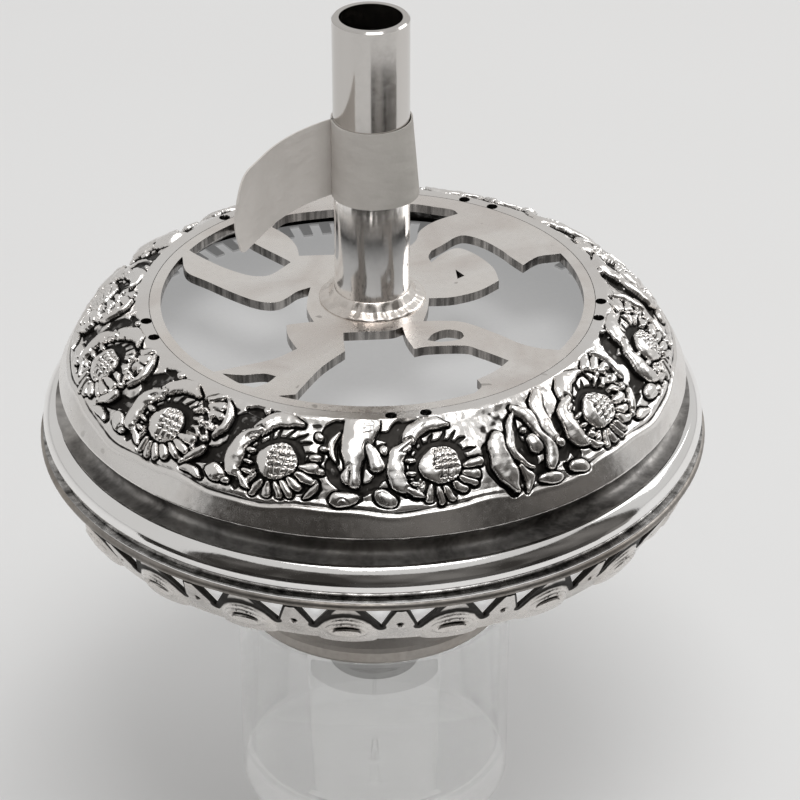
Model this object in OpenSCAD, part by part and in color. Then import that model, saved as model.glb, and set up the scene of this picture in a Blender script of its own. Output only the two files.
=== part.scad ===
// Silver finial head standing in a clear glass cup, millimetres, +Z up.
// Origin: centre of the glass cup's base, on the table.
// Heights are built upwards: glass, seat collar, gallery, girdle, cove, dome, plate, stem.

/* [Glass cup] */
// Outside diameter of the glass cup
glass_od = 52; // [51.6:0.2:56]
// Height of the glass cup
glass_h = 41.6; // [36:0.2:60]
// Wall of the glass cup
glass_wall = 1.5; // [1:0.1:2.2]
// Thickness of the glass base
glass_base = 4.5; // [2:0.5:8]
// Radius of the rounded corner inside the glass base
glass_corner_r = 3.5; // [1:0.5:6]
// Radius of the rounded rim and foot edges of the glass
glass_edge_r = 0.5; // [0.2:0.1:0.6]

/* [Seat and neck] */
// How far the collar on the glass rim stands in from the glass's outer wall
seat_in = 0.4; // [0.2:0.1:1]
// Height of the seat collar
seat_h = 3; // [2:0.5:5]
// Width of the collar's rim, which stands on the glass
seat_w = 2.4; // [1.8:0.1:3.6]
// Thickness of the collar's sheet
seat_t = 1.2; // [0.8:0.1:1.6]
// Outside diameter of the neck
neck_od = 17.4; // [14:0.2:22]
// Wall of the neck
neck_wall = 1.2; // [0.8:0.1:2]
// How far the neck hangs below the glass rim
neck_drop = 16; // [8:0.5:22]

/* [Gallery] */
// Height of the gallery's foot above the seat collar
gallery_rise = 24.2; // [20:0.2:30]
// Outside diameter of the gallery at its top, on which the head's other rings depend
gallery_top_od = 120.6; // [112:0.2:130]
// How far the gallery leans out from its foot to its top
gallery_lean = 5.3; // [4:0.1:7]
// Height of the gallery band
gallery_h = 9.6; // [8:0.2:12]
// Thickness of the gallery band
gallery_t = 1.2; // [0.8:0.1:1.6]
// Gap between the gallery and the plain lining behind it
lining_gap = 0.5; // [0.3:0.1:1]
// Thickness of the lining
lining_t = 0.8; // [0.6:0.1:1.2]
// Number of eye mounds round the gallery
mound_count = 20; // [16:1:22]
// Direction of the first eye mound, from +X
mound_angle = -94; // [-180:1:180]
// Angle from a mound to the V openings beside it
vee_angle = 5.15; // [4.8:0.05:5.4]
// Width of a V opening at the top
vee_w = 5.8; // [4:0.1:6.2]
// Depth of a V opening
vee_h = 4.6; // [3:0.1:6]
// Sideways shift of the point of a V, away from its mound
vee_skew = 0.75; // [0:0.05:1.5]
// Diameter of the drilled dot in each small triangle
dot_d = 1.1; // [0.6:0.1:1.4]
// Depth of the dots below the top of the gallery
dot_drop = 4.2; // [3:0.1:5]

/* [Girdle] */
// Diameter of the round wire under the girdle
wire_d = 1.5; // [1:0.1:2]
// How far the middle of the wire lies in from the gallery's top edge
wire_in = 0.15; // [0:0.05:0.8]
// How far the girdle bead stands in from the wire's outer edge
bead_in = 0.8; // [0.4:0.1:1.4]
// Height of the girdle bead
bead_h = 4.5; // [3.5:0.1:6]
// How far the bead stands out of its band
bead_proud = 1.7; // [1:0.1:2.2]
// Height of the plain groove under the bead
groove_h = 1.4; // [0.8:0.1:2]
// Wall of the girdle band behind the bead
girdle_wall = 2; // [1.2:0.1:3]
// Thickness of the flange by which the girdle stands on the wire
flange_t = 0.4; // [0.3:0.1:0.7]

/* [Cove] */
// Height of the dark cove between girdle and lip
cove_h = 4.2; // [3:0.1:6]
// Depth of the cove
cove_depth = 2.2; // [1:0.1:2.6]
// Wall of the cove band at its thinnest
cove_wall = 1.2; // [0.8:0.1:2]

/* [Dome] */
// How far the dome's lip stands in from the foot of the bead
lip_in = 1.5; // [1:0.1:3]
// Height of the dome from lip to plate
dome_h = 14.8; // [12:0.2:18]
// How far the dome swells out from a straight cone
dome_swell = 2; // [1:0.1:3]
// Thickness of the dome sheet
dome_t = 1.3; // [0.9:0.1:1.6]
// Thickness of the disc that closes the dome below
floor_t = 0.8; // [0.5:0.1:1.2]
// Number of claws bent over the disc's edge
claw_count = 84; // [60:1:96]
// Length of a claw
claw_l = 4.6; // [3:0.1:6]
// Share of each claw's pitch that the claw takes
claw_share = 0.5; // [0.3:0.05:0.7]
// Width of the dome's flat top ring, with the gap round the plate
top_ring_w = 2.1; // [2:0.1:4]
// Distance from the plate's edge to the middle of the threading holes
hole_inset = 1; // [1:0.1:1.1]
// Diameter of a threading hole
hole_d = 1.6; // [1:0.1:1.8]
// Angle between the two holes of a pair
hole_pair_angle = 8.3; // [6:0.1:10]
// Directions of the hole pairs, from +X
hole_pairs = [-7, -81, -163, 129, 61];

/* [Chased relief] */
// How far the raised work stands out of the dome
relief_h = 0.7; // [0.4:0.1:0.9]
// Depth of the sunk ground
relief_cut = 0.5; // [0.3:0.1:0.6]
// Diameter of a flower's disc
flower_d = 6.8; // [5:0.2:8]
// Width of the sunk ring round a disc
flower_ring_w = 1.1; // [0.8:0.1:1.4]
// Greatest width of the petal on a flower's left
petal_w = 2.4; // [1.5:0.1:3]
// Directions of the flowers, from +X
flower_at = [-161.5, -134.5, -108.3, -76.2, -38.6, -10.8, 18.5, 45.5, 73.5, 100.5, 127.5, 171];
// Directions of the drops that hang from the dome's top edge
drop_at = [-92, 149];
// Directions of the groups of upright leaves
leaves_at = [-57, 59];

/* [Openwork plate] */
// Diameter of the openwork plate
plate_od = 80; // [70:0.5:90]
// Thickness of the openwork plate
plate_t = 1.7; // [1.2:0.1:2.4]
// Width of the plate's rim
rim_w = 2; // [1.5:0.1:3]
// Width of the ledge that carries the plate
ledge_w = 1.4; // [0.8:0.1:1.8]
// Thickness of that ledge
ledge_t = 1; // [0.6:0.1:1.4]

/* [Stem] */
// Outside diameter of the stem tube
stem_od = 13.5; // [11:0.1:15]
// Wall of the stem tube
stem_wall = 1.25; // [0.8:0.05:2]
// Height of the stem above the plate
stem_h = 54.5; // [45:0.5:70]
// Width of the collar at the stem's foot, outside the tube
foot_w = 2.45; // [1.8:0.05:3.2]
// Height of that collar
foot_h = 2.4; // [1.5:0.1:4]

/* [Paper tag] */
// Height of the paper strip
tag_h = 14.6; // [10:0.2:20]
// Thickness of the paper tag
tag_t = 0.3; // [0.2:0.05:0.5]
// Height of the tag's lower edge above the plate
tag_rise = 21; // [14:0.5:30]
// Length of the straight root of the tag's tail
tail_root = 3.6; // [2:0.2:6]
// Radius of the bend in the tail
tail_bend_r = 7; // [5:0.5:10]
// Angle through which the tail bends forward
tail_bend = 62; // [30:1:80]
// Length of the tail beyond the bend
tail_reach = 17; // [10:0.5:22]

/* [Hidden] */
$fn = 96;
silver = "silver";
dark_silver = "dimgray";
bright_silver = "gainsboro";
fit_gap = 0.05;        // soldered pieces that slip over one another
plate_gap = 0.1;       // round the openwork plate
cut = 1;               // how far a cutter runs past what it cuts
lip_edge_h = 0.7;      // height at which the dome's side starts above its lip
lip_soft = 0.4;        // how far the lip's lower edge is drawn in
foot_in = 2.2;         // how far the dome's turned-in foot reaches in from the lip
foot_h_in = 1.2;       // thickness of that foot
claw_t = 0.4;          // thickness of the claws
claw_root = 0.6;       // width of the strip that joins the claws
flower_share = 0.56;   // place of the flowers on the slope, from the lip to the top
petal_out = 1.5;       // gap from a disc's sunk ring to the outer edge of its petal
petal_end = 2.5;       // where the petal's tips are cut off, from the disc's middle
pit_d = 3.8;           // sunk ground to the left of a petal
pit_angle = 11;        // its direction from its flower
pit_shares = [0.73, 0.53];
bud_d = 3.2;           // bud under the sunk ground
bud_share = 0.34;
fan_d = 5;             // leaf to the right of a flower
fan_angle = 9;
fan_share = 0.8;
fan_room = 24;         // a flower has that leaf if nothing wide stands this near on its right
relief_reach = 3;      // half the length of the prisms that are cut to the relief's height
cove_foot_in = 0.6;    // how far the cove's foot stands in from the bead's root
cove_top_in = 1;       // how far the cove's top stands in from the lip
curve_steps = 16;      // straight pieces in one revolved curve
dome_steps = 6;        // straight pieces in the dome's curve, which the relief follows
skin_end = 0.03;       // share of the slope that the relief leaves free at lip and top
spline_steps = 4;      // straight pieces between two points of a sawn edge

seat_z = glass_h;
gallery_z = seat_z + seat_h + gallery_rise;
gallery_top_z = gallery_z + gallery_h;
wire_z = gallery_top_z + wire_d / 2;
girdle_z = gallery_top_z + wire_d;
bead_z = girdle_z + groove_h;
cove_z = bead_z + bead_h;
lip_z = cove_z + cove_h;
plate_top_z = lip_z + dome_h;
plate_z = plate_top_z - plate_t;
stem_top_z = plate_top_z + stem_h;
tag_z = plate_top_z + tag_rise;

seat_r = glass_od / 2 - seat_in;
gallery_top_r = gallery_top_od / 2;
gallery_foot_r = gallery_top_r - gallery_lean;
wire_mid_r = gallery_top_r - wire_in;
bead_r = wire_mid_r + wire_d / 2 - bead_in;
bead_root_r = bead_r - bead_proud;
girdle_in_r = bead_root_r - girdle_wall;
lip_r = bead_root_r - lip_in;
cove_in_r = lip_r - cove_depth - cove_wall;
plate_r = plate_od / 2;
dome_top_r = plate_r + top_ring_w;
hole_circle_r = plate_r + hole_inset;
sawn_r = plate_r - rim_w;
stem_r = stem_od / 2;
bore_r = stem_r - stem_wall;

// An arc that swells to the right of the chord a to b, moved left by a sheet's thickness.
// It runs from the share t0 to the share t1 of the chord.
function swell_arc(a, b, swell, n, t0 = 0, t1 = 1, sheet = 0) =
    let (d = b - a, side = [d[1], -d[0]] / norm(d))
    [for (i = [0:n]) let (t = t0 + (t1 - t0) * i / n)
        a + d * t + side * (4 * t * (1 - t) * swell - sheet)];

// Catmull-Rom curve through the points of one edge; its two ends are corners.
function curve_point(p0, p1, p2, p3, t) =
    ((p1 * 2) + (p2 - p0) * t + (p0 * 2 - p1 * 5 + p2 * 4 - p3) * t * t
    + (p1 * 3 - p0 - p2 * 3 + p3) * t * t * t) / 2;
function smooth_edge(p) =
    let (last = len(p) - 1)
    [for (i = [0:last - 1]) for (s = [0:spline_steps - 1])
        curve_point(p[max(i - 1, 0)], p[i], p[i + 1], p[min(i + 2, last)], s / spline_steps)];
function outline(edges) = [for (e = edges) for (q = smooth_edge(e)) q];

module ring(r_out, r_in, z, h) {
    translate([0, 0, z])
        difference() {
            cylinder(r = r_out, h = h);
            translate([0, 0, -cut]) cylinder(r = r_in, h = h + 2 * cut);
        }
}

// Clear blown-glass cup with a heavy base, rounded inside.
module glass_cup() {
    r = glass_od / 2;
    in_r = r - glass_wall;
    inner_corner = [for (i = [0:curve_steps]) let (a = 270 + 90 * i / curve_steps)
        [in_r - glass_corner_r + glass_corner_r * cos(a),
         glass_base + glass_corner_r + glass_corner_r * sin(a)]];
    color("lightblue", 0.4)
        rotate_extrude()
            polygon(concat(
                [[0, 0], [r - glass_edge_r, 0], [r, glass_edge_r], [r, glass_h - glass_edge_r],
                 [r - glass_edge_r, glass_h], [in_r, glass_h]],
                [for (i = [curve_steps:-1:0]) inner_corner[i]],
                [[0, glass_base]]));
}

// Plain tube for the staff, from inside the glass up to the disc that closes the dome.
module neck_socket() {
    color(dark_silver)
        ring(neck_od / 2, neck_od / 2 - neck_wall, seat_z - neck_drop, lip_z - seat_z + neck_drop);
}

// Shallow dish, open downwards, round the neck; its rim stands on the glass.
module seat_collar() {
    r = seat_r;
    soft = 0.6;
    hole_r = neck_od / 2 + fit_gap;
    color(silver)
        translate([0, 0, seat_z])
            rotate_extrude()
                polygon([[r - seat_w, 0], [r - soft / 2, 0], [r, soft], [r, seat_h - soft],
                         [r - soft, seat_h], [hole_r, seat_h], [hole_r, seat_h - seat_t],
                         [r - seat_w, seat_h - seat_t]]);
}

// One V opening, cut from the front through the band; its sides run on above the band's top.
module vee(side) {
    reach = gallery_top_r + cut;
    point = [-side * vee_skew, -vee_h];
    grow = 1 + cut / vee_h;
    translate([reach, 0, 0])
        rotate([90, 0, -90])
            linear_extrude(height = reach - gallery_foot_r + 3 * gallery_t)
                polygon([point, point + ([vee_w / 2, 0] - point) * grow,
                         point + ([-vee_w / 2, 0] - point) * grow]);
}

// Pierced gallery: a leaning band sawn into eye mounds and small drilled triangles.
module gallery_band() {
    foot_r = gallery_foot_r;
    top_r = gallery_top_r;
    step = 360 / mound_count;
    color(silver)
        rotate([0, 0, mound_angle])
            difference() {
                translate([0, 0, gallery_z])
                    rotate_extrude()
                        polygon([[foot_r - gallery_t, 0], [foot_r, 0], [top_r, gallery_h],
                                 [top_r - gallery_t, gallery_h]]);
                for (i = [0:mound_count - 1]) {
                    for (side = [-1, 1])
                        rotate([0, 0, i * step + side * vee_angle])
                            translate([0, 0, gallery_top_z]) vee(side);
                    rotate([0, 0, (i + 0.5) * step])
                        translate([foot_r - 2 * gallery_t, 0, gallery_top_z - dot_drop])
                            rotate([0, 90, 0])
                                cylinder(d = dot_d, h = top_r - foot_r + 4 * gallery_t, $fn = 24);
                }
            }
}

// Plain polished band behind the gallery, leaning as it does, which hangs from the girdle.
module gallery_lining() {
    lean = gallery_lean / gallery_h;
    foot_r = gallery_foot_r - gallery_t - lining_gap;
    rise = girdle_z - gallery_z;
    color(bright_silver)
        translate([0, 0, gallery_z])
            rotate_extrude()
                polygon([[foot_r - lining_t, 0], [foot_r, 0], [foot_r + lean * rise, rise],
                         [foot_r + lean * rise - lining_t, rise]]);
}

// Round wire soldered between gallery and girdle.
module girdle_wire() {
    color(silver)
        translate([0, 0, wire_z])
            rotate_extrude()
                translate([wire_mid_r, 0]) circle(d = wire_d, $fn = 48);
}

// Band with a thin flange on the wire, a groove, and a broad polished bead above.
module girdle_moulding() {
    flange_r = wire_mid_r + wire_d / 6;
    bead = swell_arc([bead_root_r, groove_h], [bead_root_r, groove_h + bead_h], bead_proud, curve_steps);
    color(bright_silver)
        translate([0, 0, girdle_z])
            rotate_extrude()
                polygon(concat(
                    [[girdle_in_r, 0], [flange_r, 0], [flange_r, flange_t], [bead_root_r, flange_t]],
                    bead,
                    [[girdle_in_r, groove_h + bead_h]]));
}

// Hollow cove that stays dark under the lip.
module cove_band() {
    cove = swell_arc([bead_root_r - cove_foot_in, 0], [lip_r - cove_top_in, cove_h], -cove_depth,
                     curve_steps);
    color(dark_silver)
        translate([0, 0, cove_z])
            rotate_extrude()
                polygon(concat(
                    [[cove_in_r, 0]],
                    cove,
                    [[cove_in_r, cove_h]]));
}

// Flat disc inside the dome's foot, on the cove's upper edge.
module floor_disc() {
    color(silver)
        translate([0, 0, lip_z])
            cylinder(r = lip_r - foot_in - plate_gap, h = floor_t);
}

// Strip of sheet cut into claws, which lie on the disc's edge.
module claw_ring() {
    out_r = lip_r - foot_in - plate_gap;
    in_r = out_r - claw_l;
    pitch = 360 / claw_count;
    gap = 2 * in_r * sin(pitch * (1 - claw_share) / 2);
    color(silver)
        difference() {
            ring(out_r, in_r, lip_z + floor_t, claw_t);
            for (i = [0:claw_count - 1])
                rotate([0, 0, i * pitch])
                    translate([in_r - cut, -gap / 2, lip_z + floor_t - cut])
                        cube([claw_l - claw_root + cut, gap, claw_t + 2 * cut]);
        }
}

// Place on the dome's outside, as radius and height, at a share of the way from lip to top.
function dome_point(share) =
    swell_arc([lip_r, lip_edge_h], [dome_top_r, dome_h], dome_swell, 1, share, share)[0];
// Angle by which the dome's outside faces upwards there.
function dome_tilt(share) =
    let (d = dome_point(share + 0.01) - dome_point(share - 0.01)) atan2(-d[0], d[1]);

// Stands children on the dome: their +Z faces outwards, +X down the slope, +Y round the dome.
module on_dome(direction, share) {
    p = dome_point(share);
    rotate([0, 0, direction])
        translate([p[0], 0, lip_z + p[1]])
            rotate([0, 90 - dome_tilt(share), 0])
                children();
}

module prism() {
    translate([0, 0, -relief_reach])
        linear_extrude(height = 2 * relief_reach)
            children();
}

// Skin that follows the dome, from a depth under its outside to a height over it.
module dome_skin(depth, height) {
    foot = [lip_r, lip_edge_h];
    head = [dome_top_r, dome_h];
    translate([0, 0, lip_z])
        rotate_extrude()
            polygon(concat(
                swell_arc(foot, head, dome_swell, dome_steps, skin_end, 1 - skin_end, -height),
                swell_arc(foot, head, dome_swell, dome_steps, 1 - skin_end, skin_end, depth)));
}

// Crescent between two equal circles, with its tips cut off.
module petal() {
    petal_r = flower_d / 2 + flower_ring_w + petal_out + petal_w / 2;
    intersection() {
        difference() {
            circle(r = petal_r);
            translate([0, petal_w]) circle(r = petal_r);
        }
        translate([-petal_r, -petal_r - cut]) square([2 * petal_r, petal_r + cut - petal_end]);
    }
}

module raised_work() {
    for (f = flower_at) {
        on_dome(f, flower_share) prism() circle(d = flower_d);
        on_dome(f, flower_share) prism() petal();
        on_dome(f - pit_angle, bud_share) prism() circle(d = bud_d);
        if (min([for (w = concat(drop_at, leaves_at)) (w - f + 360) % 360]) > fan_room)
            on_dome(f + fan_angle, fan_share) prism() circle(d = fan_d);
    }
    for (w = drop_at)
        on_dome(w - 0.5, 0.74)
            prism()
                polygon([[-4.2, -3.3], [-4.2, 3.3], [-1, 3], [5.8, 0.9], [5.8, -1.1], [-1, -3]]);
    for (w = leaves_at) {
        on_dome(w - 6.8, 0.47)
            prism()
                polygon([[-4.6, 0.4], [-1.5, -1.8], [2, -1.6], [4.6, 0.8], [1.5, 2], [-2, 2]]);
        on_dome(w + 3.1, 0.6)
            prism()
                polygon([[-5.5, -1.6], [-1, -0.3], [5.5, -1.3], [1, 1.4], [-5, 0.2]]);
        on_dome(w + 0.7, 0.55) prism() circle(d = bud_d);
    }
}

module sunk_work() {
    for (f = flower_at) {
        on_dome(f, flower_share)
            prism()
                difference() {
                    circle(d = flower_d + 2 * flower_ring_w);
                    circle(d = flower_d);
                }
        for (share = pit_shares)
            on_dome(f - pit_angle, share) prism() circle(d = pit_d);
    }
}

// Domed shoulder with a plain rounded lip and chased flowers, and a flat top ring stepped to carry
// the plate.
module shoulder_dome() {
    plate_seat_r = plate_r + plate_gap;
    ledge_r = plate_seat_r - ledge_w;
    under = dome_h - plate_t - ledge_t;
    side_h = dome_h - lip_edge_h;
    side_a = [lip_r, lip_edge_h];
    side_b = [dome_top_r, dome_h];
    outer = swell_arc(side_a, side_b, dome_swell, dome_steps);
    inner = swell_arc(side_a, side_b, dome_swell, dome_steps, foot_h_in / side_h,
                      1 - (plate_t + ledge_t) / side_h, dome_t);
    color(bright_silver) {
        difference() {
            translate([0, 0, lip_z])
                rotate_extrude()
                    polygon(concat(
                        [[lip_r - foot_in, foot_h_in], [lip_r - foot_in, 0], [lip_r - lip_soft, 0]],
                        outer,
                        [[plate_seat_r, dome_h], [plate_seat_r, dome_h - plate_t],
                         [ledge_r, dome_h - plate_t], [ledge_r, under]],
                        [for (i = [dome_steps:-1:0]) inner[i]]));
            for (pair = hole_pairs)
                for (side = [-0.5, 0.5])
                    rotate([0, 0, pair + side * hole_pair_angle])
                        translate([hole_circle_r, 0, lip_z + under - cut])
                            cylinder(d = hole_d, h = plate_t + ledge_t + 2 * cut, $fn = 24);
            intersection() {
                dome_skin(relief_cut, cut);
                sunk_work();
            }
        }
        intersection() {
            dome_skin(relief_cut, relief_h);
            raised_work();
        }
    }
}

// The sawn openings, drawn for a rim of pattern_r inside. Each is a list of edges; where two
// edges meet there is a corner. Points outside the rim are cut off by the rim's own circle.
pattern_r = 38;
left_window = [
    [[-35.6, 16.5], [-35, 14.2], [-34.5, 10.5], [-33.3, 8], [-30, 5.3], [-25.5, 1.4], [-21.5, -1.5],
     [-18.7, -2.5], [-16.6, -2.1], [-15, -0.4], [-13.5, 1.6], [-11.2, 3.1]],
    [[-11.2, 3.1], [-11.6, -1], [-11.6, -5], [-10.3, -9.4]],
    [[-10.3, -9.4], [-12.5, -9.8], [-15.1, -10.5]],
    [[-15.1, -10.5], [-14.7, -14.3], [-13, -18.8]],
    [[-13, -18.8], [-16.8, -22.2], [-21.5, -24.3], [-29.5, -27.6]],
    [[-29.5, -27.6], [-44, -15]],
    [[-44, -15], [-44, 15]],
    [[-44, 15], [-35.6, 16.5]]];
front_window = [
    [[-5, -13.2], [0, -12.8], [3.6, -12.4], [5.4, -11.2]],
    [[5.4, -11.2], [6.1, -15], [7.5, -18.9]],
    [[7.5, -18.9], [10, -18], [16.2, -17.7], [18.5, -18.9], [21.2, -20.8], [23.8, -22.8]],
    [[23.8, -22.8], [21.5, -26.2], [18.2, -29.2]],
    [[18.2, -29.2], [18.9, -31.5], [17.3, -34.4], [16.8, -38]],
    [[16.8, -38], [0, -46]],
    [[0, -46], [-16.2, -36.2]],
    [[-16.2, -36.2], [-15.5, -34.5]],
    [[-15.5, -34.5], [-12.8, -34.1]],
    [[-12.8, -34.1], [-11, -30], [-8.3, -24.6], [-4.6, -19.6]],
    [[-4.6, -19.6], [-4.9, -16], [-5, -13.2]]];
lens_window = [
    [[-25.6, -27.2], [-22, -27.7], [-18.5, -27.2], [-16.3, -28.1]],
    [[-16.3, -28.1], [-17.8, -30.4], [-20, -31.9]],
    [[-20, -31.9], [-22.8, -30.2], [-25.6, -27.2]]];
right_window = [
    [[10.2, -0.9], [9.9, -5], [9.1, -9.2]],
    [[9.1, -9.2], [12.5, -9], [16.6, -9.7], [22.3, -13.8], [26, -17], [30, -18.8], [36, -19.5]],
    [[36, -19.5], [46, 0]],
    [[46, 0], [38.5, 17]],
    [[38.5, 17], [33.8, 15.6], [30.3, 14.6], [27.5, 11.4]],
    [[27.5, 11.4], [25.3, 14.5], [23.6, 17.2], [20.5, 20.8], [17.2, 22.8], [15.2, 22], [13, 19.3],
     [10.8, 16.9]],
    [[10.8, 16.9], [10.2, 14.6], [10.7, 12.4]],
    [[10.7, 12.4], [13, 16], [15.6, 17.9], [18.2, 16.2], [20.5, 13.2], [22.2, 9.8], [22.9, 5.6]],
    [[22.9, 5.6], [20, 2.5], [17.5, 0.8], [14, -0.6], [10.2, -0.9]]];
back_window = [
    [[-13.6, 14.9], [-7, 15.3], [0, 15.2], [5, 16.6], [7.8, 20.5], [8.6, 24.4], [10.3, 27.2]],
    [[10.3, 27.2], [12.5, 29.2], [15.9, 31.4]],
    [[15.9, 31.4], [14.9, 33], [12, 34], [7, 35.4], [0, 35], [-8, 33.1], [-15, 31.4], [-17.4, 29.8],
     [-19, 26.1]],
    [[-19, 26.1], [-16, 22.6], [-14.2, 18.6], [-13.6, 14.9]]];
leaf_window = [
    [[-34.5, 17.8], [-32.4, 15.3], [-28, 11.1], [-23.5, 8], [-20.6, 7.2], [-18.3, 8], [-15.1, 12.4]],
    [[-15.1, 12.4], [-16, 13.6], [-22.3, 20], [-25.2, 24], [-26.3, 28.5]],
    [[-26.3, 28.5], [-38, 26]],
    [[-38, 26], [-34.5, 17.8]]];
crescent = [
    [[9.8, -15.8], [10.8, -13.6], [13.2, -12.1], [15.6, -12.8], [16.2, -14.4]],
    [[16.2, -14.4], [15.3, -15.6], [12, -16.4], [9.8, -15.8]]];
drop_hole = [
    [[15.1, 9.7], [16.7, 7.4]],
    [[16.7, 7.4], [15.4, 6.2]],
    [[15.4, 6.2], [15.1, 9.7]]];
SAWN = [left_window, front_window, lens_window, right_window, back_window, leaf_window, crescent,
        drop_hole];

// Sawn plate: a hub on curling arms inside a narrow rim.
module openwork_plate() {
    color(silver)
        translate([0, 0, plate_z])
            difference() {
                cylinder(d = plate_od, h = plate_t);
                translate([0, 0, -cut]) cylinder(r = stem_r + fit_gap, h = plate_t + 2 * cut);
                intersection() {
                    translate([0, 0, -cut]) cylinder(r = sawn_r, h = plate_t + 2 * cut);
                    for (window = SAWN)
                        translate([0, 0, -cut])
                            linear_extrude(height = plate_t + 2 * cut)
                                polygon(outline(window) * (sawn_r / pattern_r));
                }
            }
}

// Washer with a solder fillet round the stem's foot.
module stem_collar() {
    in_r = stem_r + fit_gap;
    out_r = stem_r + foot_w;
    washer_h = foot_h / 4;
    fillet_r = in_r + 0.8;
    edge = 0.2;
    color(silver)
        translate([0, 0, plate_top_z])
            rotate_extrude()
                polygon([[in_r, 0], [out_r, 0], [out_r - edge, washer_h], [fillet_r, 2 * washer_h],
                         [in_r + edge, foot_h], [in_r, foot_h]]);
}

// Plain open tube, through the plate's hub.
module stem_tube() {
    lip = 0.3;
    color(silver)
        rotate_extrude()
            polygon([[bore_r, plate_z], [stem_r, plate_z], [stem_r, stem_top_z - lip],
                     [stem_r - lip, stem_top_z], [bore_r, stem_top_z]]);
}

// A point at distance along and side out on the tail: straight root, bend forward, straight end.
function tail_point(along, side) =
    let (bend_len = tail_bend_r * tail_bend * PI / 180,
         turn = 180 / PI * min(max(along - tail_root, 0), bend_len) / tail_bend_r,
         straight = max(along - tail_root - bend_len, 0),
         r = tail_bend_r - side)
    [-stem_r - fit_gap - min(along, tail_root) - r * sin(turn) - straight * cos(turn),
     r * cos(turn) - tail_bend_r - straight * sin(turn)];

// Plan of the tail: its outer face one way, its inner face back.
module tail_plan() {
    bend_len = tail_bend_r * tail_bend * PI / 180;
    stops = concat([-tag_t],
                   [for (i = [0:curve_steps]) tail_root + bend_len * i / curve_steps],
                   [tail_root + bend_len + tail_reach]);
    polygon(concat([for (s = stops) tail_point(s, 0)],
                   [for (i = [len(stops) - 1:-1:0]) tail_point(stops[i], tag_t)]));
}

// Blank paper strip glued round the stem, its two ends joined in a tail that bends forward.
module paper_tag() {
    in_r = stem_r + fit_gap;
    end_r = 0.54 * tag_h;
    color("linen")
        translate([0, 0, tag_z])
            difference() {
                linear_extrude(height = tag_h)
                    difference() {
                        union() {
                            circle(r = in_r + tag_t);
                            tail_plan();
                        }
                        circle(r = in_r);
                    }
                // rounds the free end
                translate([-in_r - tail_root, -tail_bend_r, 0])
                    rotate([0, 0, 90 + tail_bend])
                        translate([tail_bend_r - 2 * tag_t, 0, tag_h / 2])
                            rotate([90, 0, 90])
                                linear_extrude(height = 3 * tag_t)
                                    translate([tail_reach - end_r, 0])
                                        difference() {
                                            translate([0, -tag_h]) square([2 * end_r, 2 * tag_h]);
                                            circle(r = end_r);
                                        }
            }
}

glass_cup();
neck_socket();
seat_collar();
gallery_band();
gallery_lining();
girdle_wire();
girdle_moulding();
cove_band();
floor_disc();
claw_ring();
shoulder_dome();
openwork_plate();
stem_collar();
stem_tube();
paper_tag();
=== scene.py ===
"""Looks of the silver finial head on its glass cup: chased dome, sawn gallery, girdle and paper tag."""
import math

import bpy
import numpy as np
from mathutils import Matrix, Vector


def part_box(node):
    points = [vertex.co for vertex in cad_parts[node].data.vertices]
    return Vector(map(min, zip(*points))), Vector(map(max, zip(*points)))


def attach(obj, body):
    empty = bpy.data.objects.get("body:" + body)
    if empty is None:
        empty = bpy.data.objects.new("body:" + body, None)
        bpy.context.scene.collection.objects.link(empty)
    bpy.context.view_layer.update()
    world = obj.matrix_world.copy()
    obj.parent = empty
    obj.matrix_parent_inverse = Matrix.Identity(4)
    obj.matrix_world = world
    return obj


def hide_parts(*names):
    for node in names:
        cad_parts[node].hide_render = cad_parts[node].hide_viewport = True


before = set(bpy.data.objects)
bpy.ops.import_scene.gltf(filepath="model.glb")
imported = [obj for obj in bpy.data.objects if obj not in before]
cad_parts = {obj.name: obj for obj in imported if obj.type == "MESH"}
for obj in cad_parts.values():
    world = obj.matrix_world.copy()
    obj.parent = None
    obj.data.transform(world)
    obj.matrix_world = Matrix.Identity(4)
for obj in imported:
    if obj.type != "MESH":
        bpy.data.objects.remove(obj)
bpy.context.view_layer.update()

MM = 0.001
PI = math.pi


def node_box(name):
    """Lowest and highest corner of a CAD node, in millimetres."""
    low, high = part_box(name)
    return [v / MM for v in low], [v / MM for v in high]


def top(name):
    return node_box(name)[1][2]


def foot(name):
    return node_box(name)[0][2]


def radius(name):
    """Radius of a CAD node that is round about the axis."""
    return node_box(name)[1][1]


# ------------------------------------------------------------------ sizes in mm, angles in degrees
GLASS_R = radius("glass_cup")
GLASS_TOP = top("glass_cup")
GLASS_WALL = 1.5
GLASS_BASE = 4.5
GLASS_CORNER = 3.5
GALLERY_TOP_R = radius("gallery_band")
GALLERY_LEAN = 5.3
GALLERY_FOOT_R = GALLERY_TOP_R - GALLERY_LEAN
GALLERY_TOP = top("gallery_band")
GALLERY_FOOT = foot("gallery_band")
GALLERY_H = GALLERY_TOP - GALLERY_FOOT
GALLERY_T = 1.1
MOUNDS = 20
MOUND_ANGLE = -94.0
VEE_ANGLE = 5.15
VEE_W = 5.8
VEE_H = 5.8
VEE_SKEW = 0.75  # the point of a V lies this far from its middle, away from the mound
ARCH_HALF_W = 5.4
ARCH_RISE = 6.0
ARCH_FOOT = 0.4
EYE_HALF_W = 3.3
EYE_HALF_H = 1.7
EYE_Z = 3.6
SLIT_Z = 3.9
DOT_DROP = 4.8  # below the top edge
GIRDLE_FOOT = foot("girdle_moulding")
BEAD_R = 60.1
BEAD_PROUD = 1.7
GROOVE_H = 0.5
BEAD_H = 5.4
BEAD_INSET = 0.9
GIRDLE_WALL = 2.0
FLANGE_T = 0.4
FLANGE_EDGE = 0.15
FLANGE_INSET = 0.5
COVE_FOOT = foot("cove_band")
COVE_H = top("cove_band") - COVE_FOOT
COVE_DEPTH = 2.2
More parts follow.
